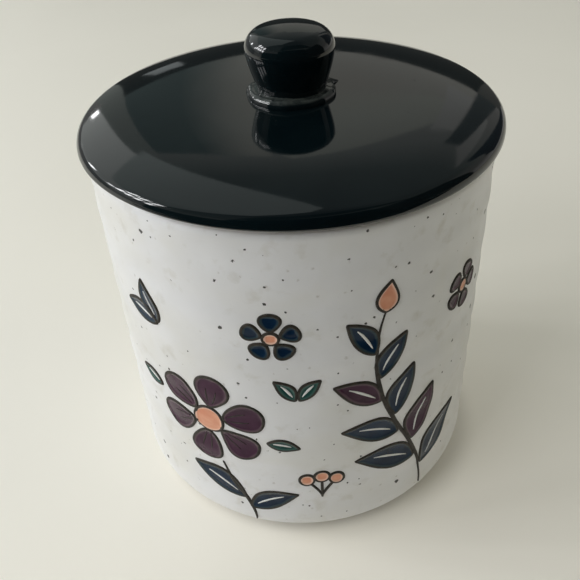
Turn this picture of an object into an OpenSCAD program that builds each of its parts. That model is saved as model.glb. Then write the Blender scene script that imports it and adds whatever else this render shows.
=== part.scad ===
// Stoneware canister with a lift-off lid, in millimetres.
// +Z is up, and the origin is the middle of the foot on the table.
// Every piece is a turned form, so each one is a profile of [radius, height] points that is revolved.

/* [Jar] */
// Outside diameter of the wall at the crests of the throwing rings
jar_d = 136; // [110:1:180]
// Height from the table to the rim
jar_h = 140.5; // [100:0.5:220]
// Thickness of the wall
jar_wall = 6; // [4.5:0.25:9]
// Thickness of the floor
jar_floor = 7; // [4:0.5:12]
// Radius of the outside corner between wall and base
base_round = 13; // [6:0.5:20]
// Radius of the inside corner between wall and floor
inside_round = 9; // [4:0.5:16]
// Radius of the outer edge of the lip
lip_round = 3; // [1:0.25:4]
// Radius of the inner edge of the lip
lip_inner_round = 1; // [0.5:0.25:1.5]

/* [Foot ring] */
// Height of the foot ring under the base corner
foot_h = 1.4; // [0.8:0.1:4]
// Width of the flat that stands on the table
foot_w = 6; // [3:0.5:10]
// Height of the hollow inside the foot ring
foot_recess = 2; // [0.5:0.25:5]
// Radius of the foot ring's outer edge
foot_edge = 0.6; // [0.2:0.1:0.8]

/* [Throwing rings] */
// Height from one ring to the next
ring_pitch = 14.5; // [6:0.5:30]
// Depth of the hollow between two rings
ring_depth = 0.35; // [0.1:0.05:1.2]

/* [Lid] */
// How far the lid's edge stands out past the jar wall
lid_overhang = 2; // [0.5:0.25:5]
// Height of the lid's flat middle above the seat
lid_h = 9.9; // [8.5:0.1:16]
// Fall of the top from its middle to the rolled edge
lid_fall = 3.9; // [1:0.1:4.5]
// Thickness of the lid
lid_t = 6; // [4:0.25:8]
// Radius of the rolled edge on top
edge_round = 3.6; // [2:0.1:4.5]
// Radius of the edge underneath
under_round = 1.8; // [0.5:0.1:2.2]
// How far the flange reaches down into the jar
flange_h = 12; // [11:0.5:25]
// Thickness of the flange
flange_t = 6; // [4:0.25:9]
// Gap all round between the flange and the jar's inside wall
lid_play = 1.5; // [0.8:0.1:3]
// Radius of the flange's lower edges
flange_round = 1.2; // [0.5:0.1:1.8]
// Radius of the hollow corner between flange and underside
hollow_round = 3; // [1:0.5:6]

/* [Seal ring] */
// Height of the ring
seal_h = 6; // [4:0.25:7]
// Depth of the ring's groove in the flange
seal_depth = 2; // [1:0.25:2.5]
// Distance from the lid's seat down to the groove
seal_drop = 3; // [2:0.25:3.5]
// Gap between the fins and the jar's inside wall
seal_gap = 0.3; // [0.2:0.05:0.6]
// Gap above the ring in its groove
seal_slack = 0.1; // [0.05:0.05:0.3]
// Thickness of a fin at its root
fin_root = 1.2; // [0.8:0.1:1.4]
// Thickness of a fin at its tip
fin_tip = 0.6; // [0.4:0.1:0.7]

/* [Knob] */
// Widest diameter of the knob
knob_d = 28.8; // [22:0.2:44]
// Diameter of the neck
neck_d = 22.6; // [14:0.2:28]
// Height of the knob above the lid
knob_h = 22; // [16:0.1:32]
// Radius of the shoulder
shoulder_round = 6; // [3:0.25:7]
// Radius of the crown's gentle dome
crown_round = 45; // [25:1:120]
// Width of the bead round the neck
bead_w = 3.6; // [2:0.1:6]
// Height of the bead
bead_h = 2.6; // [1:0.1:4]
// Width of the lid's flat round the bead
seat_margin = 1.1; // [0.2:0.1:4]

/* [Hidden] */
$fn = 120;

// Points along a quarter round, along the lid's top and along one throwing ring
round_steps = 8;
top_steps = 14;
ring_steps = 8;
// Fins on the seal ring, spread evenly over its height
fin_n = 2;
// Largest share of the wall that each edge of the lip may take
lip_share = 0.55;
lip_inner_share = 0.25;
// Largest share of the edge's height that its underside radius may take
under_share = 0.9;
// Power of the distance from the flat by which the lid's top falls
fall_power = 4;
// Steepness of the knob's side at the neck and at its widest point, where 1 is an even taper
flare_start = 1.15;
flare_end = 0.35;

white_glaze = [0.88, 0.87, 0.84];
black_glaze = [0.05, 0.06, 0.06];
grey_silicone = [0.75, 0.76, 0.76];

// Jar
jar_r = jar_d / 2;
inner_r = jar_r - jar_wall;
floor_z = foot_recess + jar_floor;
lip_out = min(lip_round, jar_wall * lip_share);
lip_in = min(lip_inner_round, jar_wall * lip_inner_share);
wall_top = jar_h - lip_out;
wall_foot = foot_h + base_round;
ring_n = max(1, round((wall_top - wall_foot) / ring_pitch));
ring_step = (wall_top - wall_foot) / ring_n;
foot_r = jar_r - base_round;
foot_in_r = foot_r - foot_w;

// Lid: flat round the knob, then falling ever faster until it runs smoothly into the rolled edge
seat_z = jar_h;
lid_r = jar_r + lid_overhang;
top_z = seat_z + lid_h;
neck_r = neck_d / 2;
flat_r = neck_r + bead_w + seat_margin;
edge_x = lid_r - edge_round;
edge_slope = atan(top_slope(edge_x));
edge_start = edge_x + edge_round * sin(edge_slope);
edge_z = top_z - top_fall(edge_start) - edge_round * cos(edge_slope);
under_r = min(under_round, (edge_z - seat_z) * under_share);

// Flange and its hollow underside, which follows the top
flange_r = inner_r - lid_play;
flange_in_r = flange_r - flange_t;
flange_z = seat_z - flange_h;
hollow_x = flange_in_r - hollow_round;
hollow_slope = atan(top_slope(hollow_x));
hollow_start = hollow_x + hollow_round * sin(hollow_slope);
hollow_z = top_z - lid_t - top_fall(hollow_start) - hollow_round * cos(hollow_slope);

// Seal ring and its groove
groove_r = flange_r - seal_depth;
groove_top = seat_z - seal_drop;
seal_top = groove_top - seal_slack;
seal_z = seal_top - seal_h;
fin_r = inner_r - seal_gap;

// Knob, on the lid's flat middle
knob_r = knob_d / 2;
crown_x = knob_r - shoulder_round;
crown_drop = sqrt(pow(crown_round - shoulder_round, 2) - pow(crown_x, 2));
widest_z = top_z + knob_h - (crown_round - crown_drop);
crown_z = widest_z - crown_drop;
crown_angle = atan2(crown_drop, crown_x);
flare_z = top_z + bead_h;

// Points on an arc about a centre, from one angle to another
function arc(centre, r, from, to, steps = round_steps) = [
    for (i = [0 : steps])
        let (a = from + (to - from) * i / steps)
        centre + r * [cos(a), sin(a)]
];

// An arc without its first point, for where it carries on from an arc or a line that ends there
function arc_on(centre, r, from, to, steps = round_steps) = [
    for (i = [1 : steps])
        let (a = from + (to - from) * i / steps)
        centre + r * [cos(a), sin(a)]
];

// The outside wall from the lip down to the base corner, waving in between the crests
function thrown_wall() = [
    for (i = [1 : ring_n * ring_steps - 1])
        let (turn = i / ring_steps)
        [jar_r - ring_depth * (1 - cos(360 * turn)) / 2, wall_top - ring_step * turn]
];

// How far the lid's top lies below its middle at a radius, and how steep it is there
function top_fall(r) = lid_fall * pow((r - flat_r) / (edge_x - flat_r), fall_power);
function top_slope(r) = fall_power * top_fall(r) / (r - flat_r);

// One of the points from the flat middle out to a radius, set by even steps of slope, some way under the top
function top_point(i, r_end, depth) =
    let (r = flat_r + (r_end - flat_r) * pow(i / top_steps, 1 / (fall_power - 1)))
    [r, top_z - depth - top_fall(r)];

// How far the knob's side has come from the neck to its widest point at a share of its height
function flare(t) =
    flare_start * (pow(t, 3) - 2 * pow(t, 2) + t) + flare_end * (pow(t, 3) - pow(t, 2))
    + 3 * pow(t, 2) - 2 * pow(t, 3);

// The knob's side from the neck out to its widest point
function knob_flare() = [
    for (i = [0 : round_steps])
        let (t = i / round_steps)
        [neck_r + (knob_r - neck_r) * flare(t), flare_z + (widest_z - flare_z) * t]
];

// The seal ring's outer side from bottom to top, with its fins
function seal_fins() = [
    for (i = [0 : fin_n - 1])
        let (mid = seal_z + seal_h * (i + 0.5) / fin_n)
        each [
            [flange_r, mid - fin_root / 2],
            [fin_r, mid - fin_tip / 2],
            [fin_r, mid + fin_tip / 2],
            [flange_r, mid + fin_root / 2],
        ]
];

module jar_body() {
    inside = concat(
        [[0, floor_z]],
        arc([inner_r - inside_round, floor_z + inside_round], inside_round, -90, 0)
    );
    lip = concat(
        arc([inner_r + lip_in, jar_h - lip_in], lip_in, 180, 90),
        arc([jar_r - lip_out, jar_h - lip_out], lip_out, 90, 0)
    );
    base_corner = arc([foot_r, wall_foot], base_round, 0, -90);
    foot = concat(
        arc([foot_r - foot_edge, foot_edge], foot_edge, 0, -90),
        [[foot_in_r, 0], [foot_in_r - foot_recess, foot_recess], [0, foot_recess]]
    );
    color(white_glaze)
        rotate_extrude()
            polygon(concat(inside, lip, thrown_wall(), base_corner, foot));
}

module lid() {
    top = concat(
        [[0, top_z]],
        [for (i = [0 : top_steps]) top_point(i, edge_start, 0)]
    );
    edge = concat(
        arc_on([edge_x, edge_z], edge_round, 90 - edge_slope, 0),
        arc([lid_r - under_r, seat_z + under_r], under_r, 0, -90)
    );
    groove = [
        [flange_r, seat_z],
        [flange_r, groove_top],
        [groove_r, groove_top],
        [groove_r, seal_z],
        [flange_r, seal_z],
    ];
    flange_tip = concat(
        arc([flange_r - flange_round, flange_z + flange_round], flange_round, 0, -90),
        arc([flange_in_r + flange_round, flange_z + flange_round], flange_round, -90, -180)
    );
    hollow = concat(
        arc([hollow_x, hollow_z], hollow_round, 0, 90 - hollow_slope),
        [for (i = [top_steps - 1 : -1 : 0]) top_point(i, hollow_start, lid_t)],
        [[0, top_z - lid_t]]
    );
    color(black_glaze)
        rotate_extrude()
            polygon(concat(top, edge, groove, flange_tip, hollow));
}

module lid_knob() {
    crown = concat(
        arc_on([crown_x, widest_z], shoulder_round, 0, crown_angle),
        arc_on([0, crown_z], crown_round, crown_angle, 90)
    );
    color(black_glaze)
        rotate_extrude()
            polygon(concat([[0, top_z], [neck_r, top_z]], knob_flare(), crown));
}

module knob_bead() {
    swell = [
        for (i = [0 : round_steps])
            let (a = 90 * i / round_steps)
            [neck_r + bead_w * cos(a), top_z + bead_h * sin(a)]
    ];
    color(black_glaze)
        rotate_extrude()
            polygon(concat([[neck_r, top_z]], swell));
}

module seal_ring() {
    band_foot = [[groove_r, seal_z], [flange_r, seal_z]];
    band_top = [[flange_r, seal_top], [groove_r, seal_top]];
    color(grey_silicone)
        rotate_extrude()
            polygon(concat(band_foot, seal_fins(), band_top));
}

jar_body();
lid();
lid_knob();
knob_bead();
seal_ring();
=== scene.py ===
# Looks of a stoneware canister: satin white jar, gloss black lid and knob, soft seal ring, inlaid leaves.
import math

import bmesh
import bpy
from mathutils import Matrix, Vector, noise


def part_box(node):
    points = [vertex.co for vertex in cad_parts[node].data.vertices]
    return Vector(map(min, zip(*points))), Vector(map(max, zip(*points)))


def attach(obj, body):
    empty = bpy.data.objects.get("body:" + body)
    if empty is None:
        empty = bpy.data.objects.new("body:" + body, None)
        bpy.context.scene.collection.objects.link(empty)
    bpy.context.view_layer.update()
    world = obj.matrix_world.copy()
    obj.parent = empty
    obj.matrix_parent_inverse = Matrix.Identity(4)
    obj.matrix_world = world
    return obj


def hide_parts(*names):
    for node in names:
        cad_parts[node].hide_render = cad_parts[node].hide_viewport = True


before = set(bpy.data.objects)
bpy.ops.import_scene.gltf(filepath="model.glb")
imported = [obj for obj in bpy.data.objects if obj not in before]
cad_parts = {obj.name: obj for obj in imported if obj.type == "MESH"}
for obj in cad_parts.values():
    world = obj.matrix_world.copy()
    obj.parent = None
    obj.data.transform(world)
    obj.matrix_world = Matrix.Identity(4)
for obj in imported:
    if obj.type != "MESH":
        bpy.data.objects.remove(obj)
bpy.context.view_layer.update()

MM = 0.001
TURN = 2 * math.pi
# Lengths nearer than this count as the same, in metres
CLOSE = 0.1 * MM

# Sizes that the frame gives, in metres
_, jar_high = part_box("jar_body")
lid_low, lid_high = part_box("lid")
knob_low, knob_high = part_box("lid_knob")
_, bead_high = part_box("knob_bead")
seal_low, seal_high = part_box("seal_ring")
JAR_R = jar_high.x
RIM_Z = jar_high.z
LID_R = lid_high.x
FLANGE_Z = lid_low.z
SEAT_Z = knob_low.z
KNOB_R = knob_high.x
KNOB_TOP = knob_high.z
BEAD_R = bead_high.x
BEAD_TOP = bead_high.z
FIN_R = seal_high.x
SEAL_LOW = seal_low.z
SEAL_TOP = seal_high.z

# Jar sizes that its box doesn't show, in metres
WALL = 6 * MM
FLOOR = 7 * MM
BASE_ROUND = 13 * MM
INSIDE_ROUND = 9 * MM
LIP_ROUND = 3 * MM
LIP_INNER_ROUND = 1 * MM
FOOT_H = 1.4 * MM
FOOT_W = 6 * MM
FOOT_RECESS = 2 * MM
FOOT_EDGE = 0.6 * MM
RING_N = 8
RING_DEPTH = 0.48 * MM
INNER_R = JAR_R - WALL
FOOT_R = JAR_R - BASE_ROUND
FOOT_IN_R = FOOT_R - FOOT_W
WALL_TOP = RIM_Z - LIP_ROUND
WALL_FOOT = FOOT_H + BASE_ROUND
RING_STEP = (WALL_TOP - WALL_FOOT) / RING_N

# Lid sizes that its box doesn't show, in metres
LID_FALL = 3.9 * MM
FALL_POWER = 4
FLAT_R = 16 * MM
LID_T = 6 * MM
EDGE_ROUND = 3.6 * MM
UNDER_ROUND = 1.8 * MM
LID_PLAY = 1.5 * MM
FLANGE_T = 6 * MM
FLANGE_ROUND = 1.2 * MM
HOLLOW_ROUND = 3 * MM
SEAL_DEPTH = 2 * MM
SEAL_SLACK = 0.1 * MM
FLANGE_R = INNER_R - LID_PLAY
FLANGE_IN_R = FLANGE_R - FLANGE_T
GROOVE_R = FLANGE_R - SEAL_DEPTH
EDGE_R = LID_R - EDGE_ROUND

# Knob sizes that its box doesn't show, in metres
NECK_R = 11.3 * MM
SHOULDER_ROUND = 6 * MM
CROWN_ROUND = 45 * MM

# What the hand left uneven in the jar: shares of a ring's step or depth, lengths in metres
RING_TILT = 0.05
RING_TILT_START = 0.6
RING_WANDER = 0.16
RING_WANDER_SIZE = 60 * MM
RING_FADE = 0.25
RING_EVEN = 0.8
RING_UNEVEN = 0.6
RING_UNEVEN_SIZE = 45 * MM
RING_UNEVEN_RISE = 2.5
WALL_SWELL = 0.10 * MM
WALL_SWELL_SIZE = 35 * MM
FINGER_STEP = 1.3 * RING_STEP
FINGER_DEPTH = 0.12 * MM
FINGER_TOP = SEAL_LOW - 8 * MM

# What the hand left uneven in the lid, its knob and the bead: lengths in metres, angles in radians
LID_SWELL = 0.07 * MM
LID_SWELL_SIZE = 38 * MM
LID_RIPPLE = 0.012 * MM
LID_RIPPLE_SIZE = 14 * MM
EDGE_LIFT = 1.7 * MM
EDGE_LIFT_AT = math.radians(-135)
KNOB_SHIFT = 1.2 * MM
KNOB_LEAN = 0.25 * MM
KNOB_LUMP = 0.25 * MM
KNOB_LUMP_SIZE = 15 * MM
BEAD_SWELL_SIZE = 9 * MM
BEAD_RIPPLE_SIZE = 3.5 * MM
PULL_AT = math.radians(27)
PULL_SPAN = 0.11

# Layers of the noise that the turned pieces' unevenness is read from, in metres
WANDER_LAYER = 0.3
SWELL_LAYER = 0.1
RIPPLE_LAYER = 0.4
BEAD_SWELL_LAYER = 0.05
BEAD_RIPPLE_LAYER = 0.2

# Sizes of the decoration, in millimetres
LINE_W = 1.25
LINE_H = 0.42
STEM_W = 1.6
STALK_W = 1.1
RIB_W = 1.0
RIB_H = 0.3
VEIN_W = 0.6
VEIN_H = 0.26
VEINED_RADIUS = 12.0
POOL_H = 0.13
CLIMB_H = 0.23
CLIMB_W = 0.24
SUNK = 0.3
HAND = 0.35
HAND_SIZE = 11.0
LINE_UNEVEN = 0.18
LINE_UNEVEN_SIZE = 4.0
# Layers of the noise by which the hand strays along the wall, up it and in a line's width
ALONG_LAYER = 0.0
UP_LAYER = 50.0
WIDTH_LAYER = 90.0
# Attribute of the pooled glaze that holds how far a point is from the line round it
REACH = "pool_reach"

# Mesh steps
SEGMENTS = 288
PAD_ROWS = 20
PAD_COLUMNS = 16

# Parts of a noise's range that a look is spread over
NARROW = (0.35, 0.65)
WIDE = (0.3, 0.7)


# Nodes and materials


def plug(tree, socket, value):
    """Gives a socket a link if the value is another socket, or else the plain value."""
    if isinstance(value, bpy.types.NodeSocket):
        tree.links.new(value, socket)
    else:
        socket.default_value = value


def add(tree, kind, inputs=None, **settings):
    """A shader node with its settings and its input values or links."""
    node = tree.nodes.new(kind)
    for name, value in settings.items():
        setattr(node, name, value)
    for key, value in (inputs or {}).items():
        plug(tree, node.inputs[key], value)
    return node


def math_node(tree, operation, first, second=0.0):
    """One arithmetic step."""
    return add(tree, "ShaderNodeMath", {0: first, 1: second}, operation=operation).outputs[0]


def vector_node(tree, operation, inputs, output="Vector"):
    """One arithmetic step with vectors."""
    return add(tree, "ShaderNodeVectorMath", inputs, operation=operation).outputs[output]


def new_material(name):
    """An empty principled material: (material, node tree, shader, coordinates in millimetres)."""
    made = bpy.data.materials.new(name)
    made.use_nodes = True
    tree = made.node_tree
    place = add(tree, "ShaderNodeTexCoord").outputs["Object"]
    in_mm = vector_node(tree, "SCALE", {0: place, "Scale": 1 / MM})
    return made, tree, tree.nodes["Principled BSDF"], in_mm


def remap(tree, value, low, high, to_low=0.0, to_high=1.0, smooth=False):
    """A value taken from one range to another, clamped."""
    kind = "SMOOTHSTEP" if smooth else "LINEAR"
    inputs = {"Value": value, "From Min": low, "From Max": high, "To Min": to_low, "To Max": to_high}
    return add(tree, "ShaderNodeMapRange", inputs, interpolation_type=kind).outputs[0]


def mottle(tree, place, size, detail=2.0, distortion=0.0):
    """Soft noise whose patches are about size millimetres wide."""
    inputs = {"Vector": place, "Scale": 1 / size, "Detail": detail, "Distortion": distortion}
    return add(tree, "ShaderNodeTexNoise", inputs).outputs["Fac"]


def mix(tree, factor, first, second):
    """A colour between two colours."""
    return add(tree, "ShaderNodeMix", {0: factor, 6: first, 7: second}, data_type="RGBA").outputs[2]


def rgb(red, green, blue):
    """A linear colour with full alpha."""
    return (red, green, blue, 1.0)


def specks(tree, place, cell, share, radius, softness):
    """A mask of scattered specks: that share of cells has one, of up to that radius in millimetres."""
    wander_scale = 1.6
    smallest = 0.45
    ragged = {"Vector": place, "Scale": wander_scale, "Detail": 1.0}
    wander = add(tree, "ShaderNodeTexNoise", ragged).outputs["Color"]
    nudge = vector_node(tree, "SCALE", {0: wander, "Scale": radius})
    moved = vector_node(tree, "ADD", {0: place, 1: nudge})
    cells = add(tree, "ShaderNodeTexVoronoi", {"Vector": moved, "Scale": 1 / cell})
    dice = add(tree, "ShaderNodeSeparateColor", {0: cells.outputs["Color"]})
    size = remap(tree, dice.outputs[1], 0.0, 1.0, smallest * radius / cell, radius / cell)
    inner = math_node(tree, "MULTIPLY", size, 1.0 - softness)
    spot = remap(tree, cells.outputs["Distance"], inner, size, 1.0, 0.0, smooth=True)
    chosen = math_node(tree, "LESS_THAN", dice.outputs[0], share)
    return math_node(tree, "MULTIPLY", spot, chosen)


def bump(tree, height, distance, strength, under=None):
    """A normal from a height in the range 0 to 1, over another normal if one is given."""
    inputs = {"Height": height, "Distance": distance, "Strength": strength}
    if under is not None:
        inputs["Normal"] = under
    return add(tree, "ShaderNodeBump", inputs).outputs[0]


def wire(tree, shader, colour, roughness, normal=None):
    """Links a colour, a roughness and, if one is given, a normal to a shader."""
    tree.links.new(colour, shader.inputs["Base Color"])
    tree.links.new(roughness, shader.inputs["Roughness"])
    if normal is not None:
        tree.links.new(normal, shader.inputs["Normal"])


def white_glaze():
    """Satin white glaze over iron-bearing stoneware: specks come through it, and it has faint stains."""
    made, tree, shader, place = new_material("white_glaze")
    bright = rgb(0.80, 0.80, 0.81)
    dull = rgb(0.75, 0.75, 0.755)
    cream = rgb(0.70, 0.68, 0.60)
    tan = rgb(0.52, 0.49, 0.41)
    brown = rgb(0.36, 0.33, 0.28)
    iron = rgb(0.016, 0.013, 0.010)
    cloud = mottle(tree, place, 22.0, detail=3.0)
    body = mix(tree, remap(tree, cloud, *NARROW), bright, dull)
    warm = mottle(tree, place, 34.0, detail=3.0, distortion=0.5)
    body = mix(tree, remap(tree, warm, 0.45, 0.75, 0.0, 0.5), body, cream)
    stain = mottle(tree, place, 7.0, detail=5.0, distortion=0.15)
    body = mix(tree, remap(tree, stain, 0.58, 0.75, 0.0, 0.38), body, tan)
    faint = specks(tree, place, cell=4.4, share=0.6, radius=0.8, softness=0.8)
    body = mix(tree, math_node(tree, "MULTIPLY", faint, 0.42), body, brown)
    small = specks(tree, place, cell=4.6, share=0.62, radius=0.6, softness=0.3)
    large = specks(tree, place, cell=9.5, share=0.62, radius=1.1, softness=0.22)
    dark = math_node(tree, "MAXIMUM", small, large)
    body = mix(tree, math_node(tree, "MULTIPLY", dark, 0.97), body, iron)
    satin = remap(tree, mottle(tree, place, 5.0, detail=3.0), *WIDE, 0.34, 0.46)
    skin = bump(tree, mottle(tree, place, 1.1), distance=0.05 * MM, strength=0.35)
    skin = bump(tree, dark, distance=0.06 * MM, strength=0.5, under=skin)
    wire(tree, shader, body, satin, skin)
    return made


def black_glaze():
    """Gloss black glaze with a cool cast, a slight orange peel and a few pinholes."""
    made, tree, shader, place = new_material("black_glaze")
    cloud = mottle(tree, place, 16.0, detail=3.0)
    body = mix(tree, remap(tree, cloud, *NARROW), rgb(0.0012, 0.0045, 0.006), rgb(0.0025, 0.0065, 0.008))
    gloss = remap(tree, mottle(tree, place, 7.0, detail=4.0), 0.3, 0.75, 0.05, 0.09)
    peel = bump(tree, mottle(tree, place, 2.6, detail=1.0), distance=0.03 * MM, strength=0.12)
    pits = specks(tree, place, cell=7.0, share=0.5, radius=0.45, softness=0.9)
    level = math_node(tree, "SUBTRACT", 1.0, pits)
    peel = bump(tree, level, distance=0.08 * MM, strength=0.6, under=peel)
    wire(tree, shader, body, gloss, peel)
    return made


def black_glaze_painted_sheen():
    """Black glaze with a painted reflection: grey painted on top of the bead, patchy by noise, where the
    bead mirrors the room above, and black at its edge.
    """
    made, tree, shader, place = new_material("black_glaze_painted_sheen")
    sheen_start = SEAT_Z / MM + 1.2
    sheen_full = SEAT_Z / MM + 2.3
    # Painted reflection: a grey share that rises with height on the bead and varies with noise.
    height = add(tree, "ShaderNodeSeparateXYZ", {0: place}).outputs["Z"]
    top = remap(tree, height, sheen_start, sheen_full, smooth=True)
    cloud = mottle(tree, place, 2.2, detail=4.0, distortion=0.4)
    thin = math_node(tree, "MULTIPLY", top, remap(tree, cloud, 0.3, 0.65, 0.25, 1.0))
    body = mix(tree, thin, rgb(0.0015, 0.005, 0.0065), rgb(0.050, 0.058, 0.054))
    skin = bump(tree, mottle(tree, place, 0.9), distance=0.05 * MM, strength=0.3)
    wire(tree, shader, body, remap(tree, cloud, *WIDE, 0.08, 0.18), skin)
    return made


def pooled_glaze(name, deep, pale, thin):
    """Glossy coloured glaze, deep in the middle of its pool and thin where it climbs up to the line."""
    made, tree, shader, place = new_material(name)
    cloud = mottle(tree, place, 5.0, detail=4.0, distortion=0.4)
    body = mix(tree, remap(tree, cloud, 0.35, 0.7), deep, pale)
    grain = mottle(tree, place, 0.7)
    body = mix(tree, remap(tree, grain, 0.55, 0.8, 0.0, 0.25), body, pale)
    reach = add(tree, "ShaderNodeAttribute", attribute_name=REACH).outputs["Fac"]
    uneven = math_node(tree, "ADD", reach, remap(tree, cloud, *WIDE, -0.15, 0.15))
    body = mix(tree, remap(tree, uneven, 0.0, 0.65, smooth=True), thin, body)
    gloss = remap(tree, mottle(tree, place, 3.0), *WIDE, 0.06, 0.13)
    skin = bump(tree, mottle(tree, place, 1.8, detail=1.0), distance=0.04 * MM, strength=0.2)
    wire(tree, shader, body, gloss, skin)
    shader.inputs["Specular IOR Level"].default_value = 0.16
    return made


def bare_clay(name, dark, pale, rough_low, rough_high):
    """Matt unglazed stoneware with a fine grain."""
    made, tree, shader, place = new_material(name)
    cloud = mottle(tree, place, 1.8, detail=4.0, distortion=0.3)
    body = mix(tree, remap(tree, cloud, *NARROW), dark, pale)
    grain = mottle(tree, place, 0.35, detail=3.0)
    skin = bump(tree, grain, distance=0.05 * MM, strength=0.5)
    wire(tree, shader, body, remap(tree, grain, *WIDE, rough_low, rough_high), skin)
    return made


def silicone():
    """Soft, slightly cloudy grey silicone."""
    made, tree, shader, place = new_material("silicone")
    cloud = mottle(tree, place, 6.0)
    body = mix(tree, remap(tree, cloud, *WIDE), rgb(0.60, 0.61, 0.61), rgb(0.68, 0.69, 0.685))
    dust = mottle(tree, place, 0.5)
    skin = bump(tree, dust, distance=0.02 * MM, strength=0.2)
    wire(tree, shader, body, remap(tree, dust, *WIDE, 0.38, 0.52), skin)
    shader.inputs["Subsurface Weight"].default_value = 0.35
    shader.inputs["Subsurface Radius"].default_value = (0.9, 0.9, 0.85)
    shader.inputs["Subsurface Scale"].default_value = 1.5 * MM
    return made


def card_glow(name, colour, right_colour):
    """A card's soft glow, from one colour at its left to another at its right. It mirrors nothing."""
    made, tree, shader, place = new_material(name)
    across = add(tree, "ShaderNodeTexCoord").outputs["Generated"]
    share = add(tree, "ShaderNodeSeparateXYZ", {0: across}).outputs["X"]
    share = math_node(tree, "ADD", share, remap(tree, mottle(tree, place, 400.0), *WIDE, -0.1, 0.1))
    glow = mix(tree, remap(tree, share, 0.0, 1.0, smooth=True), rgb(*colour), rgb(*right_colour))
    tree.links.new(glow, shader.inputs["Emission Color"])
    shader.inputs["Emission Strength"].default_value = 1.0
    shader.inputs["Base Color"].default_value = rgb(0.0, 0.0, 0.0)
    shader.inputs["Specular IOR Level"].default_value = 0.0
    return made


def floor_paint():
    """Plain pale floor, warm white and hardly cloudy, with a painted contact shadow in a narrow ring round
    the foot. For camera, mirror and transmission rays it also glows, except near a point a little right of
    the foot's middle, so a painted shadow stays round the foot, deepest at the right.
    """
    made, tree, shader, place = new_material("floor_paint")
    shadow_ring_in = 58.0
    shadow_ring_out = 67.0
    # Centre, inner and outer radius in millimetres of the painted shadow that the floor's glow leaves round
    # the foot
    painted_shadow_centre = (8.0, -3.0, 0.0)
    glow_in = 54.0
    glow_out = 70.0
    cloud = mottle(tree, place, 140.0)
    body = mix(tree, cloud, rgb(0.80, 0.773, 0.705), rgb(0.83, 0.803, 0.733))
    from_axis = vector_node(tree, "LENGTH", {0: place}, "Value")
    # Painted contact shadow: the floor's colour turns towards dark brown within a few millimetres of the
    # foot.
    painted_contact_shadow = remap(tree, from_axis, shadow_ring_in, shadow_ring_out, 0.45, 0.0, smooth=True)
    body = mix(tree, painted_contact_shadow, body, rgb(0.10, 0.095, 0.085))
    wire(tree, shader, body, remap(tree, cloud, *WIDE, 0.42, 0.5))
    rays = add(tree, "ShaderNodeLightPath").outputs
    seen = math_node(tree, "MAXIMUM", rays["Is Camera Ray"], rays["Is Glossy Ray"])
    seen = math_node(tree, "MAXIMUM", seen, rays["Is Transmission Ray"])
    # Painted light and shadow: the floor glows for camera, mirror and transmission rays, but not near a
    # point right of the axis, so a painted shadow stays round the foot.
    from_painted_shadow_centre = vector_node(tree, "DISTANCE", {0: place, 1: painted_shadow_centre}, "Value")
    glow = remap(tree, from_painted_shadow_centre, glow_in, glow_out, 0.0, 0.15, smooth=True)
    tree.links.new(math_node(tree, "MULTIPLY", seen, glow), shader.inputs["Emission Strength"])
    shader.inputs["Emission Color"].default_value = rgb(1.0, 0.95, 0.80)
    return made


# Meshes


def clamped(value):
    """A value held between 0 and 1."""
    return min(1.0, max(0.0, value))


def arc(x, z, r, start, end, steps):
    """Points on an arc about a centre, from one angle to another in degrees, without the first."""
    angles = [math.radians(start + (end - start) * i / steps) for i in range(1, steps + 1)]
    return [(x + r * math.cos(a), z + r * math.sin(a)) for a in angles]


def straight(start, end, step):
    """Points along a line from one point to another, without the first."""
    count = max(1, round(math.dist(start, end) / step))
    return [
        (start[0] + (end[0] - start[0]) * i / count, start[1] + (end[1] - start[1]) * i / count)
        for i in range(1, count + 1)
    ]


def polar(r, theta, z):
    """A point from its radius, its angle about the axis and its height."""
    return (r * math.cos(theta), r * math.sin(theta), z)


def drift(x, y, z, size):
    """Smooth noise between about -1 and 1 whose swells are about size wide. Another z is another layer."""
    return noise.noise(Vector((x, y, z)) / size)


def loft(rings, closed=False):
    """A skin over rings of points: (points, faces, the ring that each face starts from).

    A ring of one point closes an end, and a closed skin joins its last ring to its first.
    """
    points = []
    rows = []
    for ring in rings:
        rows.append(range(len(points), len(points) + len(ring)))
        points.extend(ring)
    faces = []
    starts = []
    for j, (row, after) in enumerate(zip(rows, rows[1:] + rows[:1] if closed else rows[1:])):
        for i in range(max(len(row), len(after))):
            k = i + 1
            corners = [row[i % len(row)], after[i % len(after)], after[k % len(after)], row[k % len(row)]]
            faces.append(list(dict.fromkeys(corners)))
            starts.append(j)
    return points, faces, starts


def new_piece(name, points, faces, materials, slots=None):
    """A smooth-shaded mesh object whose faces look outwards."""
    mesh = bpy.data.meshes.new(name)
    mesh.from_pydata(points, [], faces)
    for made in materials:
        mesh.materials.append(made)
    if slots:
        mesh.polygons.foreach_set("material_index", slots)
    mesh.polygons.foreach_set("use_smooth", [True] * len(mesh.polygons))
    shell = bmesh.new()
    shell.from_mesh(mesh)
    bmesh.ops.recalc_face_normals(shell, faces=shell.faces)
    shell.to_mesh(mesh)
    shell.free()
    piece = bpy.data.objects.new(name, mesh)
    bpy.context.scene.collection.objects.link(piece)
    return piece


def turned(name, profile, shape, materials, slot_of=None, closed=False):
    """A piece turned from (radius, height) points.

    shape moves each point, and slot_of picks the material of each ring.
    """
    angles = [TURN * i / SEGMENTS for i in range(SEGMENTS)]
    rings = [[shape(r, z, a) for a in (angles if r > 0 else angles[:1])] for r, z in profile]
    points, faces, starts = loft(rings, closed)
    slots = [slot_of(*profile[j]) for j in starts] if slot_of else None
    return new_piece(name, points, faces, materials, slots)


# Turned pieces


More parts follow.
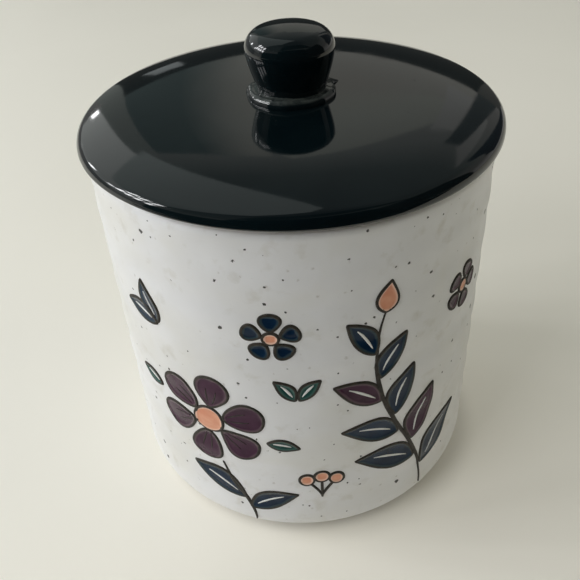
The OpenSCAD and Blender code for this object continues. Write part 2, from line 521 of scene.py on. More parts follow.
def wall_offset(theta, z):
    """How far the jar's outside stands off a plain cylinder: throwing rings that the hand let wander."""
    from_end = min((z - WALL_FOOT) / RING_STEP, (WALL_TOP - z) / RING_STEP)
    fade = clamped(from_end + RING_FADE)
    x, y, _ = polar(JAR_R, theta, z)
    wander = RING_TILT * math.sin(theta + RING_TILT_START)
    wander += RING_WANDER * drift(x, y, z + WANDER_LAYER, RING_WANDER_SIZE)
    turn = (z - WALL_FOOT) / RING_STEP + wander
    depth = RING_DEPTH * (RING_EVEN + RING_UNEVEN * drift(x, y, RING_UNEVEN_RISE * z, RING_UNEVEN_SIZE))
    rings = -depth * (1 - math.cos(TURN * turn)) / 2
    return fade * rings + WALL_SWELL * drift(x, y, z, WALL_SWELL_SIZE)


def jar_point(r, z, theta):
    """The jar's surface: rings outside, a fainter trace of the fingers inside."""
    if r > INNER_R + WALL / 2 and z > FOOT_H:
        grip = min(1.0, (z - FOOT_H) / BASE_ROUND)
        return polar(r + grip * wall_offset(theta, z), theta, z)
    if abs(r - INNER_R) < CLOSE and z < FINGER_TOP:
        turn = z / FINGER_STEP + theta / TURN
        return polar(r + FINGER_DEPTH * math.sin(TURN * turn), theta, z)
    return polar(r, theta, z)


def jar_profile():
    """From the middle of the inside floor over the lip and down to the middle of the underside."""
    floor_z = FOOT_RECESS + FLOOR
    points = [(0.0, floor_z)]
    points += straight(points[-1], (INNER_R - INSIDE_ROUND, floor_z), step=6 * MM)
    points += arc(INNER_R - INSIDE_ROUND, floor_z + INSIDE_ROUND, INSIDE_ROUND, -90, 0, steps=12)
    points += straight(points[-1], (INNER_R, RIM_Z - LIP_INNER_ROUND), step=2.5 * MM)
    points += arc(INNER_R + LIP_INNER_ROUND, RIM_Z - LIP_INNER_ROUND, LIP_INNER_ROUND, 180, 90, steps=6)
    points += straight(points[-1], (JAR_R - LIP_ROUND, RIM_Z), step=1 * MM)
    points += arc(JAR_R - LIP_ROUND, RIM_Z - LIP_ROUND, LIP_ROUND, 90, 0, steps=10)
    points += straight(points[-1], (JAR_R, WALL_FOOT), step=1 * MM)
    points += arc(FOOT_R, WALL_FOOT, BASE_ROUND, 0, -90, steps=20)
    points += straight(points[-1], (FOOT_R, FOOT_EDGE), step=0.4 * MM)
    points += arc(FOOT_R - FOOT_EDGE, FOOT_EDGE, FOOT_EDGE, 0, -90, steps=5)
    points += straight(points[-1], (FOOT_IN_R, 0.0), step=1.5 * MM)
    points += straight(points[-1], (FOOT_IN_R - FOOT_RECESS, FOOT_RECESS), step=0.7 * MM)
    points += straight(points[-1], (0.0, FOOT_RECESS), step=6 * MM)
    return points


def edge_lift(r, z, theta):
    """How far the hand turned up the underside of the lid's edge, beyond the jar's wall and at the left."""
    fade_in = 4 * MM
    fade_up = 3 * MM
    outward = clamped((r - JAR_R + LIP_ROUND) / fade_in)
    down = clamped((RIM_Z + fade_up - z) / fade_up)
    left = max(0.0, math.cos(theta - EDGE_LIFT_AT)) ** 2
    return EDGE_LIFT * outward * down * left if z > RIM_Z - CLOSE else 0.0


def lid_point(r, z, theta):
    """The lid's surface, with the slow swells that a thrown and glazed lid has."""
    fade_up = 3 * MM
    fade_out = 8 * MM
    x, y, _ = polar(r, theta, z)
    over = clamped((z - RIM_Z) / fade_up)
    clear = clamped((r - BEAD_R) / fade_out)
    swell = LID_SWELL * drift(x, y, SWELL_LAYER, LID_SWELL_SIZE)
    swell += LID_RIPPLE * drift(x, y, RIPPLE_LAYER, LID_RIPPLE_SIZE)
    return polar(r, theta, z + over * clear * swell + edge_lift(r, z, theta))


def lid_fall(r):
    """How far the lid's top lies below its flat middle at a radius, and its slope there in degrees."""
    span = EDGE_R - FLAT_R
    beyond = max(0.0, r - FLAT_R) / span
    slope = FALL_POWER * LID_FALL / span * beyond ** (FALL_POWER - 1)
    return LID_FALL * beyond ** FALL_POWER, math.degrees(math.atan(slope))


def rolled_corner(x, size, top_z):
    """A round under the falling top, about radius x: where the top ends, the round's height and angle."""
    slope = math.radians(lid_fall(x)[1])
    end = x + size * math.sin(slope)
    return end, top_z - lid_fall(end)[0] - size * math.cos(slope), 90 - math.degrees(slope)


def lid_profile():
    """From the middle of the top over the edge, seat and flange to the middle of the hollow underside."""
    hollow_top = SEAT_Z - LID_T
    edge_end, edge_z, edge_angle = rolled_corner(EDGE_R, EDGE_ROUND, SEAT_Z)
    hollow_x = FLANGE_IN_R - HOLLOW_ROUND
    hollow_end, hollow_z, hollow_angle = rolled_corner(hollow_x, HOLLOW_ROUND, hollow_top)
    tip_z = FLANGE_Z + FLANGE_ROUND
    groove_top = SEAL_TOP + SEAL_SLACK
    top_radii = [r for r, _ in straight((0.0, 0.0), (edge_end, 0.0), step=1.2 * MM)]
    hollow_radii = [r for r, _ in straight((hollow_end, 0.0), (0.0, 0.0), step=2 * MM)]
    points = [(0.0, SEAT_Z)]
    points += [(r, SEAT_Z - lid_fall(r)[0]) for r in top_radii]
    points += arc(EDGE_R, edge_z, EDGE_ROUND, edge_angle, 0, steps=14)
    points += straight(points[-1], (LID_R, RIM_Z + UNDER_ROUND), step=0.3 * MM)
    points += arc(LID_R - UNDER_ROUND, RIM_Z + UNDER_ROUND, UNDER_ROUND, 0, -90, steps=10)
    points += straight(points[-1], (FLANGE_R, RIM_Z), step=0.8 * MM)
    for corner in ((FLANGE_R, groove_top), (GROOVE_R, groove_top),
                   (GROOVE_R, SEAL_LOW), (FLANGE_R, SEAL_LOW), (FLANGE_R, tip_z)):
        points += straight(points[-1], corner, step=1 * MM)
    points += arc(FLANGE_R - FLANGE_ROUND, tip_z, FLANGE_ROUND, 0, -90, steps=6)
    points += straight(points[-1], (FLANGE_IN_R + FLANGE_ROUND, FLANGE_Z), step=1 * MM)
    points += arc(FLANGE_IN_R + FLANGE_ROUND, tip_z, FLANGE_ROUND, -90, -180, steps=6)
    points += straight(points[-1], (FLANGE_IN_R, hollow_z), step=2 * MM)
    points += arc(hollow_x, hollow_z, HOLLOW_ROUND, 0, hollow_angle, steps=8)
    points += [(r, hollow_top - lid_fall(r)[0]) for r in hollow_radii]
    return points


def knob_point(r, z, theta):
    """The knob's surface: set on by hand, so it is off the axis, leans and is a little out of round."""
    lump_rise = 0.4
    rise = max(0.0, (z - BEAD_TOP) / (KNOB_TOP - BEAD_TOP))
    x, y, _ = polar(r, theta, z)
    lump = rise * (r / KNOB_R) * KNOB_LUMP * drift(x, y, z, KNOB_LUMP_SIZE)
    px, py, pz = polar(r + lump, theta, z + lump_rise * lump)
    return (px + KNOB_SHIFT - KNOB_LEAN * rise, py, pz)


def knob_profile():
    """From the middle of the flat foot up the tapered side and over the crown to its middle."""
    crown_x = KNOB_R - SHOULDER_ROUND
    drop = math.sqrt((CROWN_ROUND - SHOULDER_ROUND) ** 2 - crown_x ** 2)
    widest_z = KNOB_TOP - CROWN_ROUND + drop
    crown_angle = math.degrees(math.atan2(drop, crown_x))
    foot_slope = 1.15
    widest_slope = 0.35
    points = [(0.0, SEAT_Z)]
    points += straight(points[-1], (NECK_R, SEAT_Z), step=4 * MM)
    points += straight(points[-1], (NECK_R, BEAD_TOP), step=0.7 * MM)
    steps = 22
    for i in range(1, steps + 1):
        t = i / steps
        bends = foot_slope * (t ** 3 - 2 * t ** 2 + t) + widest_slope * (t ** 3 - t ** 2)
        flare = bends + 3 * t ** 2 - 2 * t ** 3
        points.append((NECK_R + (KNOB_R - NECK_R) * flare, BEAD_TOP + (widest_z - BEAD_TOP) * t))
    points += arc(crown_x, widest_z, SHOULDER_ROUND, 0, crown_angle, steps=16)
    points += arc(0.0, widest_z - drop, CROWN_ROUND, crown_angle, 90, steps=8)
    return points[:-1] + [(0.0, KNOB_TOP)]


def bead_point(r, z, theta):
    """The bead of slip and glaze: uneven in width and height, narrower in front, with one pulled point."""
    pull_power = 1.3
    pull_out = 0.95
    pull_down = 0.75
    front_trim = 0.15
    least_width = 0.75
    width_gain = 0.5
    least_height = 0.82
    height_gain = 0.4
    x, y, _ = polar(NECK_R, theta, 0.0)
    front = 0.5 - 0.5 * math.sin(theta)
    spread = 0.5 + 0.5 * drift(x, y, BEAD_SWELL_LAYER, BEAD_SWELL_SIZE)
    spread += 0.35 * drift(x, y, BEAD_RIPPLE_LAYER, BEAD_RIPPLE_SIZE)
    pull = math.exp(-abs(math.remainder(theta - PULL_AT, TURN) / PULL_SPAN) ** pull_power)
    out = r - NECK_R
    outside = max(0.0, out)
    widening = (least_width + width_gain * spread) * (1 - front_trim * front ** 3) + pull_out * pull
    height = (z - SEAT_Z) * (least_height + height_gain * spread)
    height *= 1 - pull_down * pull * min(1.0, outside / (BEAD_R - NECK_R))
    px, py, pz = polar(NECK_R + min(out, 0.0) + outside * widening, theta, SEAT_Z + height)
    return (px + KNOB_SHIFT, py, pz)


def bead_profile():
    """A pressed roll round the knob's neck, highest at the neck and rounded outside, closed inside."""
    width = BEAD_R - NECK_R
    height = BEAD_TOP - SEAT_Z
    inner_r = NECK_R - 0.4 * MM
    sunk_z = SEAT_Z - 0.2 * MM
    edge = 0.45
    edge_share = 0.9
    points = [(inner_r, sunk_z), (BEAD_R, sunk_z), (BEAD_R, SEAT_Z)]
    steps = 24
    for i in range(1, steps + 1):
        u = math.cos(math.pi / 2 * i / steps)
        if u > edge:
            share = edge_share * math.sqrt(1 - ((u - edge) / (1 - edge)) ** 2)
        else:
            share = edge_share + (1 - edge_share) * (1 - u / edge) ** 2
        points.append((NECK_R + width * u, SEAT_Z + height * share))
    points.append((inner_r, SEAT_Z + height))
    return points


def seal_profile():
    """A band with two fins whose tips are rounded."""
    height = SEAL_TOP - SEAL_LOW
    root = 0.6 * MM
    tip = 0.3 * MM
    tip_turn = 110
    fin_shares = (0.25, 0.75)
    points = [(GROOVE_R, SEAL_LOW), (FLANGE_R, SEAL_LOW)]
    for share in fin_shares:
        mid = SEAL_LOW + height * share
        points += [(FLANGE_R, mid - root)]
        points += arc(FIN_R - tip, mid, tip, -tip_turn, tip_turn, steps=8)
        points += [(FLANGE_R, mid + root)]
    points += [(FLANGE_R, SEAL_TOP), (GROOVE_R, SEAL_TOP)]
    return points


# Inlaid decoration, drawn in millimetres along the wall from its front and up from the foot


def wall_point(a, z, h):
    """The point that lies a along the wall, z up and h off the white glaze."""
    theta = a * MM / JAR_R - math.pi / 2
    return polar(JAR_R + wall_offset(theta, z * MM) + h * MM, theta, z * MM)


def step_from(point, angle, distance):
    """The point at a distance from another, at an angle in radians."""
    return (point[0] + distance * math.cos(angle), point[1] + distance * math.sin(angle))


def patch(base, angle, length, bend, half_width):
    """A leaf-like outline by an unsteady hand: where the point t along its spine and s across it lies."""
    along = (math.cos(angle), math.sin(angle))

    def place(t, s):
        side = s * half_width(t) + bend * length * 4 * t * (1 - t)
        a = base[0] + along[0] * length * t - along[1] * side
        z = base[1] + along[1] * length * t + along[0] * side
        return (a + HAND * drift(a, z, ALONG_LAYER, HAND_SIZE), z + HAND * drift(a, z, UP_LAYER, HAND_SIZE))

    return place


def eased(count):
    """Shares from 0 to 1 that lie closer together towards both ends."""
    return [(1 - math.cos(math.pi * i / count)) / 2 for i in range(count + 1)]


def pool(reach):
    """Height of pooled glaze at a distance from its line: low in the middle, it climbs to the line."""
    return POOL_H + CLIMB_H * math.exp(-reach / CLIMB_W)


def pad(place, length, half_width):
    """A pool of coloured glaze that fills a patch, sunk into the wall: (points, faces, reaches)."""
    columns = [2 * share - 1 for share in eased(PAD_COLUMNS)]
    rings = [[wall_point(*place(0.0, 0.0), 0.0)]]
    reaches = [0.0]
    for t in eased(PAD_ROWS)[1:-1]:
        edges = [min((1 - abs(s)) * half_width(t), t * length, (1 - t) * length) for s in columns]
        row = [max(0.0, edge - LINE_W / 2) for edge in edges]
        ring = [wall_point(*place(t, s), pool(reach)) for s, reach in zip(columns, row)]
        rings.append(ring + [wall_point(*place(t, s), -SUNK) for s in (1.0, -1.0)])
        reaches += row + [0.0, 0.0]
    rings.append([wall_point(*place(1.0, 0.0), 0.0)])
    points, faces, _ = loft(rings)
    return points, faces, reaches + [0.0]


def outline(place):
    """Points round a patch."""
    shares = eased(PAD_ROWS)
    return [place(t, 1.0) for t in shares[:-1]] + [place(t, -1.0) for t in shares[:0:-1]]


def lengthwise(place, s, start, span, steps):
    """Points along a stretch of a patch, at s across it."""
    return [place(start + span * i / steps, s) for i in range(steps + 1)]


def line_rings(points, width, top, closed=False):
    """Rings of a rounded line of that width and height along points. An open line tapers at both ends."""
    tip_share = 0.35
    taper_rate = 2.4
    section = ((-1.0, -SUNK), (-0.95, 0.4 * top), (-0.5, 0.9 * top), (0.0, top),
               (0.5, 0.9 * top), (0.95, 0.4 * top), (1.0, -SUNK))
    count = len(points)
    rings = []
    for i, (a, z) in enumerate(points):
        before = points[i - 1] if closed or i else points[0]
        after = points[(i + 1) % count] if closed or i < count - 1 else points[-1]
        way = Vector((after[0] - before[0], after[1] - before[1])).normalized()
        taper = 1.0 if closed else min(1.0, tip_share + taper_rate * min(i, count - 1 - i) / count)
        half = taper * width / 2 * (1 + LINE_UNEVEN * drift(a, z, WIDTH_LAYER, LINE_UNEVEN_SIZE))
        rings.append([wall_point(a - way.y * half * s, z + way.x * half * s, h) for s, h in section])
    if not closed:
        rings.insert(0, [wall_point(*points[0], -SUNK)])
        rings.append([wall_point(*points[-1], -SUNK)])
    return rings


def stroke(art, colour, points, width, top, closed=False):
    """A line, open or closed."""
    shell, faces, _ = loft(line_rings(points, width, top, closed), closed)
    art[colour].append((shell, faces, [1.0] * len(shell)))


def fill(art, colour, base, angle, length, half_width, bend=0.0):
    """A patch of coloured glaze inside a dark line. Gives back where its points lie."""
    place = patch(base, angle, length, bend, half_width)
    art[colour].append(pad(place, length, half_width))
    stroke(art, "line", outline(place), LINE_W, LINE_H, closed=True)
    return place


def leaf(art, colour, base, angle, length, bend=0.08):
    """A pointed leaf with a white midrib."""
    half = 0.23 * length

    def half_width(t):
        return half * math.sin(math.pi * t ** 0.85) ** 0.95

    place = fill(art, colour, base, angle, length, half_width, bend)
    rib = lengthwise(place, 0.0, start=0.16, span=0.58, steps=12)
    stroke(art, "white", rib, RIB_W, RIB_H)


def disc(art, colour, centre, radius):
    """A round spot."""
    base = (centre[0] - radius, centre[1])
    fill(art, colour, base, 0.0, 2 * radius, lambda t: 2 * radius * math.sqrt(t * (1 - t)))


def blossom(art, colour, centre, petals, radius, turn):
    """Round petals about a coral eye, with two fine veins in each large petal."""
    eye = 0.27 * radius
    gap = 0.9
    root = eye + gap
    length = radius - eye - gap
    widest = root + 0.62 * length
    between = 0.35
    half = 0.92 * math.pi * widest / petals - between

    def half_width(t):
        return half * math.sqrt(max(0.0, math.sin(math.pi * t))) * (0.52 + 0.6 * t)

    for k in range(petals):
        angle = turn + TURN * k / petals
        place = fill(art, colour, step_from(centre, angle, root), angle, length, half_width)
        for s in (-0.3, 0.3) if radius > VEINED_RADIUS else ():
            vein = lengthwise(place, s, start=0.12, span=0.5, steps=8)
            stroke(art, "line", vein, VEIN_W, VEIN_H)
    disc(art, "coral", centre, eye)


def curve(start, lead, follow, end, steps=28):
    """Points along a curve that leaves start towards lead and comes to end from follow."""
    corners = (start, lead, follow, end)
    points = []
    for i in range(steps + 1):
        t = i / steps
        shares = ((1 - t) ** 3, 3 * t * (1 - t) ** 2, 3 * t ** 2 * (1 - t), t ** 3)
        points.append(tuple(sum(w * p[n] for w, p in zip(shares, corners)) for n in (0, 1)))
    return points


def tall_sprig(art):
    """A long curved stem with leaves on both sides by turns and a bud at its top."""
    stem = curve((46, 13), (47, 46), (15, 64), (26, 108))
    stroke(art, "line", stem, STEM_W, LINE_H)
    leaves = 8
    spacing = 3
    off_stem = 1.6
    plum_leaves = (2, 5)
    for k in range(leaves):
        i = spacing * (k + 1)
        here, there = stem[i], stem[i + 1]
        heading = math.atan2(there[1] - here[1], there[0] - here[0])
        side = 1 if k % 2 else -1
        opening = math.radians(52 - 2.5 * k)
        angle = heading + side * opening
        length = 27 - 1.5 * k
        colour = "plum" if k in plum_leaves else "navy"
        leaf(art, colour, step_from(here, angle, off_stem), angle, length, bend=-0.07 * side)
    bud_length = 11.0
    bud_half = 3.6
    bud_angle = math.radians(80)
    fill(art, "coral", stem[-1], bud_angle, bud_length, lambda t: bud_half * math.sin(math.pi * t ** 0.7))


def flower_stem(art):
    """A large blossom on a short stem with two leaves."""
    stem = curve((-20, 11), (-20, 22), (-28, 28), (-31, 40))
    stroke(art, "line", stem, STEM_W, LINE_H)
    leaf(art, "navy", (-21.5, 18), math.radians(28), length=20)
    leaf(art, "navy", (-23.5, 23), math.radians(152), length=23, bend=-0.08)
    blossom(art, "plum", (-34, 61), petals=6, radius=21.0, turn=math.radians(20))
    leaf(art, "green", (-13, 55), math.radians(-12), length=11, bend=0.05)
    leaf(art, "green", (-55, 66), math.radians(165), length=11, bend=-0.05)


def berries(art, foot, angles, reach):
    """Coral berries on fanned stalks."""
    stalk_foot = 0.4
    berry_off = 2.2
    berry_r = 2.5
    for angle in map(math.radians, angles):
        start = (foot[0] + stalk_foot * math.cos(angle), foot[1])
        lead = (foot[0], foot[1] + 0.4 * reach)
        end = step_from(foot, angle, reach)
        stroke(art, "line", curve(start, lead, end, end, steps=12), STALK_W, LINE_H)
        disc(art, "coral", step_from(end, angle, berry_off), berry_r)


def leaf_pair(art, colour, foot, length, spread, heading=90):
    """Two leaves that part from one foot."""
    off_foot = 1.2
    for side in (-1, 1):
        angle = math.radians(heading + side * spread)
        leaf(art, colour, step_from(foot, angle, off_foot), angle, length, -0.06 * side)


def add_decoration():
    """Leaves and blossoms in pooled glaze between dark lines, one piece for each colour."""
    colours = {
        "navy": pooled_glaze(
            "navy_glaze", rgb(0.003, 0.013, 0.034), rgb(0.006, 0.024, 0.056), rgb(0.034, 0.055, 0.064)),
        "plum": pooled_glaze(
            "plum_glaze", rgb(0.038, 0.010, 0.028), rgb(0.062, 0.020, 0.047), rgb(0.115, 0.072, 0.088)),
        "coral": pooled_glaze(
            "coral_glaze", rgb(0.68, 0.28, 0.17), rgb(0.76, 0.38, 0.25), rgb(0.80, 0.52, 0.40)),
        "green": pooled_glaze(
            "green_glaze", rgb(0.008, 0.046, 0.042), rgb(0.018, 0.072, 0.062), rgb(0.060, 0.120, 0.105)),
        "white": pooled_glaze(
            "gloss_white_glaze", rgb(0.74, 0.74, 0.72), rgb(0.80, 0.80, 0.79), rgb(0.70, 0.70, 0.67)),
        "line": bare_clay(
            "line_clay", rgb(0.020, 0.017, 0.013), rgb(0.048, 0.039, 0.030), rough_low=0.55, rough_high=0.8),
    }
    art = {colour: [] for colour in colours}
    tall_sprig(art)
    flower_stem(art)
    leaf_pair(art, "navy", (-49, 97), length=15.0, spread=30, heading=140)
    blossom(art, "navy", (-9, 103), petals=5, radius=9.0, turn=math.radians(90))
    berries(art, (5, 26), angles=(62, 90, 118), reach=9.0)
    blossom(art, "plum", (61, 100), petals=5, radius=8.5, turn=math.radians(70))
    leaf_pair(art, "green", (-2, 76), length=10.0, spread=40)
    for colour, shells in art.items():
        points = []
        faces = []
        reaches = []
        for shell_points, shell_faces, shell_reaches in shells:
            faces.extend([len(points) + v for v in face] for face in shell_faces)
            points.extend(shell_points)
            reaches.extend(shell_reaches)
        piece = new_piece(f"decor_{colour}", points, faces, [colours[colour]])
        piece.data.attributes.new(REACH, "FLOAT", "POINT").data.foreach_set("value", reaches)
        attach(piece, "jar")


# Floor, lights and camera

LID_MIDDLE = Vector((0.0, 0.0, SEAT_Z))
DAYLIGHT = (0.98, 0.99, 1.0)
ROOM_LIGHT = (1.0, 0.95, 0.74)
FLOOR_LIGHT = (1.0, 0.98, 0.93)


def add_floor(paint):
    """A wide pale floor under the foot."""
    half = 4.0
    corners = [(-half, -half, 0.0), (half, -half, 0.0), (half, half, 0.0), (-half, half, 0.0)]
    floor = new_piece("floor", corners, [[0, 1, 2, 3]], [paint])


def direction(azimuth, elevation):
    """A unit vector by its angles in degrees: azimuth from +Y towards +X, elevation up from the floor."""
    az = math.radians(azimuth)
    el = math.radians(elevation)
    return Vector((math.sin(az) * math.cos(el), math.cos(az) * math.cos(el), math.sin(el)))


def hang_lamp(lamp, location, turn, glossy):
    """Puts a lamp in the scene, where the camera doesn't see it."""
    holder = bpy.data.objects.new(lamp.name, lamp)
    holder.location = location
    holder.rotation_euler = turn
    holder.visible_camera = False
    holder.visible_glossy = glossy
    bpy.context.scene.collection.objects.link(holder)


def add_lamp(name, azimuth, elevation, distance, width, height, radiance, colour=DAYLIGHT, glossy=True):
    """A soft rectangular lamp that faces the lid. Its width and height are angles in degrees from there."""
    wide = 2 * distance * math.tan(math.radians(width / 2))
    high = 2 * distance * math.tan(math.radians(height / 2))
    lamp = bpy.data.lights.new(name, "AREA")
    lamp.shape = "RECTANGLE"
    lamp.size = wide
    lamp.size_y = high
    lamp.energy = radiance * math.pi * wide * high
    lamp.color = colour
    way = direction(azimuth, elevation)
    turn = (-way).to_track_quat("-Z", "Y").to_euler()
    hang_lamp(lamp, LID_MIDDLE + distance * way, turn, glossy)


def add_bounce():
    """Light that the floor throws back on the lower wall, most in front and at the right, not mirrored."""
    radius = 210 * MM
    radiance = 0.2
    middle = (10 * MM, -25 * MM, 1 * MM)
    facing_up = (math.pi, 0.0, 0.0)
    lamp = bpy.data.lights.new("bounce", "AREA")
    lamp.shape = "DISK"
    lamp.size = 2 * radius
    lamp.energy = radiance * math.pi * math.pi * radius ** 2
    lamp.color = FLOOR_LIGHT
    hang_lamp(lamp, middle, facing_up, glossy=False)


def add_windows():
    """Two rows of window panes at the left, slim ones further back, and two soft fills, not mirrored."""
    pane_distance = 2.2
    # Azimuth, elevation, width, height and radiance of each pane
    panes = (
        (-78, 37, 4, 8, 16), (-88, 37, 4, 8, 16), (-99, 37, 4, 8, 16),
        (-80, 25, 4, 8, 16), (-87, 25, 4, 8, 16), (-94, 25, 4, 8, 16), (-102, 25, 4, 8, 16),
        (-75, 20, 4, 6, 10), (-55, 19, 4, 7, 12), (-42, 9, 3, 7, 12), (-36, 8, 3, 7, 12), (-27, 9, 2, 9, 8),
    )
    for k, (azimuth, elevation, width, height, radiance) in enumerate(panes):
        add_lamp(f"pane_{k}", azimuth, elevation, pane_distance, width, height, radiance)
    add_lamp("fill", azimuth=-128, elevation=32, distance=1.3, width=28, height=28, radiance=4.5,
             glossy=False)
    add_lamp("warm_fill", azimuth=104, elevation=18, distance=1.4, width=40, height=40, radiance=1.55,
             colour=ROOM_LIGHT, glossy=False)


def add_card(name, points, colour, right_colour=None, mirrored_only=False):
    """A flat card between four points, which the lid mirrors and the camera doesn't see."""
    card = new_piece(name, points, [[0, 1, 2, 3]], [card_glow(name, colour, right_colour or colour)])
    card.visible_camera = False
    card.visible_diffuse = not mirrored_only
    card.visible_shadow = not mirrored_only


def facing(distance, corners):
    """Points at a distance from the lid, in directions by azimuth and elevation."""
    return [LID_MIDDLE + distance * direction(*corner) for corner in corners]


def add_lit_cards():
    """Pale and dark cards behind the canister and at its sides, and dark flags in front of it."""
    # Name, distance, left and right azimuth, low and high elevation, colour
    upright = (
        ("card_back", 2.9, -8, 25, 12, 22, (0.40, 0.395, 0.36)),
        ("card_back_low", 1.65, -20.7, 26, -5, 14.2, (0.040, 0.042, 0.040)),
        ("card_right_gap", 1.8, 25, 35, -4, 14.5, (0.13, 0.13, 0.12)),
        ("card_left_post", 2.7, -20, -10.5, 13, 33, (0.125, 0.155, 0.15)),
        ("card_left_strip", 2.6, -25.5, -20, -2, 32, (0.26, 0.28, 0.26)),
        ("card_left", 3.1, -95, -25, 10, 35, (0.83, 0.86, 0.83)),
        ("card_left_low", 1.9, -80, -25, -4, 11, (0.26, 0.255, 0.245)),
        ("card_strip", 2.7, 19, 25, 18, 30, (0.43, 0.43, 0.41)),
        ("card_right_post", 2.7, 25.5, 31, 14, 34, (0.09, 0.10, 0.10)),
        ("card_front", 1.0, 135, 207, -8, 46, (0.012, 0.013, 0.013)),
        ("card_front_left", 1.6, 203, 216, -5, 42, (0.012, 0.013, 0.013)),
        ("card_front_right", 1.7, 84, 140, -5, 40, (0.03, 0.03, 0.03)),
    )
    for name, distance, left, right, low, high, colour in upright:
        add_card(name, facing(distance, ((left, low), (right, low), (right, high), (left, high))), colour)
    # Name, distance, corners by azimuth and elevation, colour
    slanted = (
        ("card_back_high", 2.9, ((-8, 22), (25, 22), (22, 27), (0, 35)), (0.42, 0.43, 0.385)),
        ("card_glow_high", 3.0, ((-95, 30), (-22.5, 32), (13.8, 67), (-95, 79)), (0.53, 0.58, 0.56)),
        ("card_glow_left", 2.9, ((-95, 30), (-40, 32), (-40, 60), (-95, 66)), (0.78, 0.82, 0.80)),
        ("card_gleam", 1.4, ((-17.5, 5.5), (-12.5, 6.5), (-11.5, 12), (-15.5, 11)), (0.40, 0.43, 0.43)),
        ("card_right_strip", 2.8, ((30.5, 22), (32, 23), (40, 41.5), (29.5, 34)), (0.42, 0.42, 0.40)),
        ("card_right_low", 2.6, ((31, 4), (63, 4), (64, 20), (40, 38)), (0.05, 0.055, 0.065)),
    )
    for name, distance, corners, colour in slanted:
        add_card(name, facing(distance, corners), colour)
    wall = facing(2.75, ((-11, 12.5), (-2.5, 12.5), (-2.5, 33.5), (-11, 33)))
    add_card("card_left_wall", wall, (0.125, 0.155, 0.15), (0.42, 0.42, 0.38))


def add_mirrored_cards():
    """Dark cards that only mirrors show: on the floor in front, above the front and far at the left."""
    half = 1.2
    near = -1.3
    far = -0.16
    lift = 2 * MM
    floor = [Vector((x, y, lift)) for x, y in ((-half, near), (half, near), (half, far), (-half, far))]
    add_card("card_front_floor", floor, (0.014, 0.015, 0.015), mirrored_only=True)
    high = facing(1.05, ((110, 42), (215, 42), (215, 74), (110, 74)))
    add_card("card_front_high", high, (0.035, 0.037, 0.037), mirrored_only=True)
    far_left = facing(1.75, ((-150, -6), (-104, -6), (-104, 20), (-150, 30)))
    add_card("card_far_left", far_left, (0.03, 0.032, 0.03), mirrored_only=True)


def ramp(tree, value, stops):
    """A colour by a value, between stops of (place, colour)."""
    node = add(tree, "ShaderNodeValToRGB", {0: value})
    while len(node.color_ramp.elements) < len(stops):
        node.color_ramp.elements.new(0.5)
    for stop, (at, colour) in zip(node.color_ramp.elements, stops):
        stop.position = at
        stop.color = colour
    return node.outputs["Color"]


def add_world():
    """A plain room: pale near the floor, dimmer towards the ceiling."""
    world = bpy.data.worlds.new("room")
    bpy.context.scene.world = world
    world.use_nodes = True
    tree = world.node_tree
    way = add(tree, "ShaderNodeTexCoord").outputs["Generated"]
    height = add(tree, "ShaderNodeSeparateXYZ", {0: way}).outputs["Z"]
    room = ramp(tree, height, [
        (0.0, rgb(0.56, 0.55, 0.52)),
        (0.10, rgb(0.50, 0.49, 0.47)),
        (0.30, rgb(0.30, 0.295, 0.28)),
        (0.55, rgb(0.27, 0.28, 0.265)),
        (0.68, rgb(0.17, 0.185, 0.175)),
        (0.90, rgb(0.155, 0.17, 0.165)),
        (0.98, rgb(0.095, 0.10, 0.10)),
    ])
    back = tree.nodes["Background"]
    tree.links.new(room, back.inputs["Color"])
    back.inputs["Strength"].default_value = 1.0


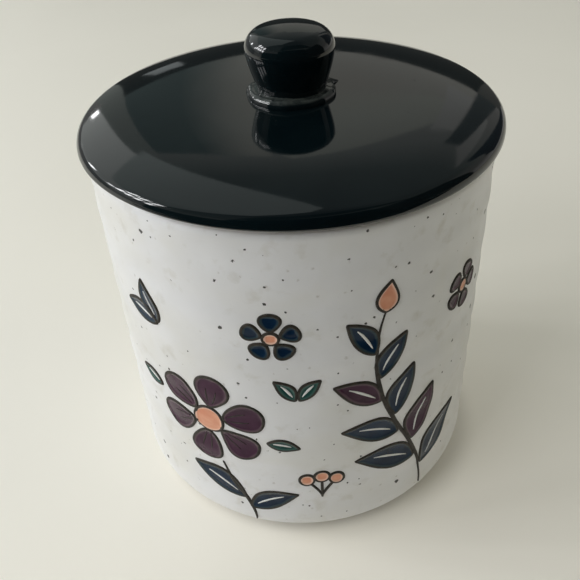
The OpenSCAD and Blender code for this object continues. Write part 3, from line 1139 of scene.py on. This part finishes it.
def add_camera():
    """The photograph's view: its place, its turns in radians and its lens, fitted to the outline."""
    place = Vector((0.0, -223.76 * MM, 243.96 * MM))
    pitch = 0.666
    yaw = -0.015
    roll = -0.059
    lens_pixels = 712.64
    image_pixels = 580
    sensor = 36.0
    ahead = Vector((
        math.sin(yaw) * math.cos(pitch),
        math.cos(yaw) * math.cos(pitch),
        -math.sin(pitch),
    ))
    level = Vector((math.cos(yaw), -math.sin(yaw), 0.0))
    above = level.cross(ahead)
    right = math.cos(roll) * level + math.sin(roll) * above
    top = math.cos(roll) * above - math.sin(roll) * level
    turn = Matrix((right, top, -ahead)).transposed()
    data = bpy.data.cameras.new("camera")
    data.sensor_fit = "HORIZONTAL"
    data.sensor_width = sensor
    data.lens = lens_pixels / image_pixels * sensor
    data.clip_start = 0.01
    camera = bpy.data.objects.new("camera", data)
    camera.matrix_world = Matrix.Translation(place) @ turn.to_4x4()
    bpy.context.scene.collection.objects.link(camera)
    bpy.context.scene.camera = camera


# The canister


def add_canister():
    """The turned pieces, each in place of its CAD node."""
    white = white_glaze()
    black = black_glaze()
    clay = bare_clay(
        "raw_stoneware", rgb(0.30, 0.24, 0.18), rgb(0.42, 0.35, 0.27), rough_low=0.7, rough_high=0.9)
    raw_top = FOOT_H * 0.8
    raw_in_r = FOOT_IN_R - 1 * MM
    seat_out_r = LID_R - UNDER_ROUND
    hair = 0.01 * MM

    def jar_slot(r, z):
        return 1 if z < raw_top and r > raw_in_r else 0

    def lid_slot(r, z):
        return 1 if abs(z - RIM_Z) < hair and r < seat_out_r else 0

    def as_drawn(r, z, theta):
        return polar(r, theta, z)

    jar = turned("jar_glazed", jar_profile(), jar_point, [white, clay], jar_slot)
    lid = turned("lid_glazed", lid_profile(), lid_point, [black, clay], lid_slot)
    knob = turned("knob_glazed", knob_profile(), knob_point, [black])
    bead = turned("bead_glazed", bead_profile(), bead_point, [black_glaze_painted_sheen()], closed=True)
    seal = turned("seal_soft", seal_profile(), as_drawn, [silicone()], closed=True)
    for piece, body, node, slot in (
        (jar, "jar", "jar_body", "white_glaze"),
        (lid, "lid", "lid", "black_glaze"),
        (knob, "lid", "lid_knob", "black_glaze"),
        (bead, "lid", "knob_bead", "black_glaze"),
        (seal, "lid", "seal_ring", "silicone"),
    ):
        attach(piece, body)
        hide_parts(node)


add_canister()
add_decoration()
add_floor(floor_paint())
add_windows()
add_bounce()
add_lit_cards()
add_mirrored_cards()
add_world()
add_camera()
bpy.context.scene.view_settings.view_transform = "Standard"
